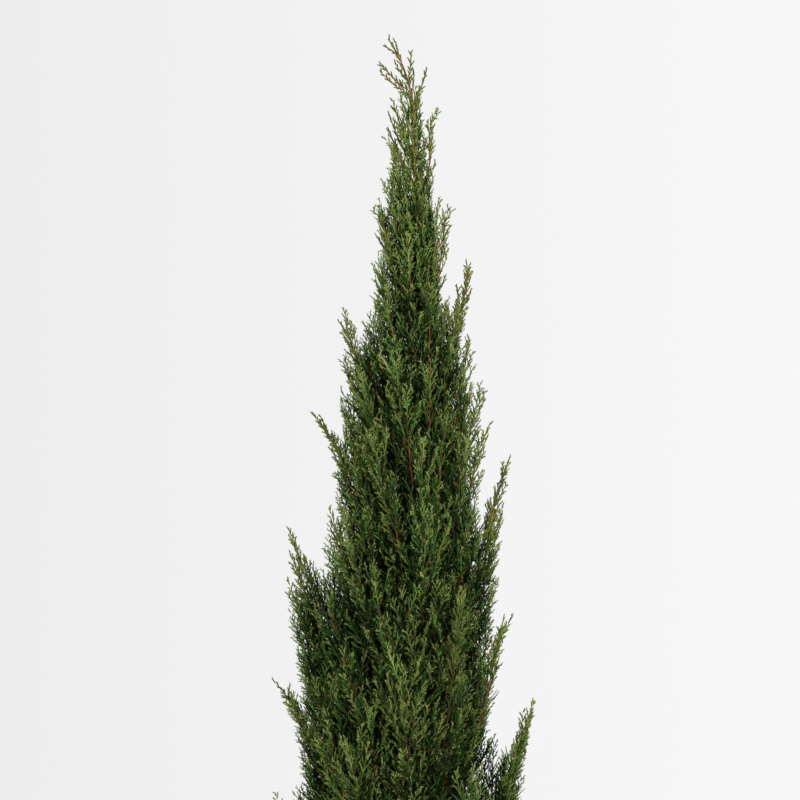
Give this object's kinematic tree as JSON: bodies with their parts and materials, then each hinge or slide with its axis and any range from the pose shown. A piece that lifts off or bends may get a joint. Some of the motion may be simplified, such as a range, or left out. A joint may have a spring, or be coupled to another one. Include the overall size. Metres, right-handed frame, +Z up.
{
  "type": "potted italian cypress",
  "caption": "Young columnar italian cypress with a slim leader and upright feathery plumes, standing in a plain tapered clay pot of soil.",
  "frame": {"origin": "centre of the pot's underside, on the surface that it stands on", "axes": "+Z up along the trunk, -Y towards the picture's viewer, +X to that viewer's right"},
  "size_m": [0.29, 0.26, 1.3504],
  "materials": {
    "clay": "matt fired clay",
    "soil": "loose dark potting soil",
    "bark": "thin fibrous brown bark",
    "foliage": "matt scale leaves"
  },
  "bodies": {
    "root": {"bough_01": "bark", "bough_03": "bark", "bough_07": "bark", "bough_08": "bark", "bough_10": "bark", "bough_13": "bark", "bough_16": "bark", "bough_19": "bark", "bough_21": "bark", "bough_24": "bark", "bough_25": "bark", "bough_26": "bark", "bough_27": "bark", "bough_28": "bark", "bough_29": "bark", "bough_30": "bark", "leader_spray_1": "foliage", "leader_spray_2": "foliage", "leader_spray_3": "foliage", "leader_spray_4": "foliage", "leader_spray_5": "foliage", "leader_spray_6": "foliage", "leader_spray_7": "foliage", "plume_01": "foliage", "plume_02": "foliage", "plume_03": "foliage", "plume_04": "foliage", "plume_05": "foliage", "plume_06": "foliage", "plume_07": "foliage", "plume_08": "foliage", "plume_09": "foliage", "plume_10": "foliage", "plume_11": "foliage", "plume_12": "foliage", "plume_13": "foliage", "plume_14": "foliage", "plume_15": "foliage", "plume_16": "foliage", "plume_17": "foliage", "plume_18": "foliage", "plume_19": "foliage", "plume_20": "foliage", "plume_21": "foliage", "plume_22": "foliage", "plume_23": "foliage", "plume_24": "foliage", "plume_25": "foliage", "plume_26": "foliage", "plume_27": "foliage", "plume_28": "foliage", "plume_29": "foliage", "plume_30": "foliage", "pot": "clay", "soil": "soil", "trunk": "bark"}
  },
  "joints": []
}
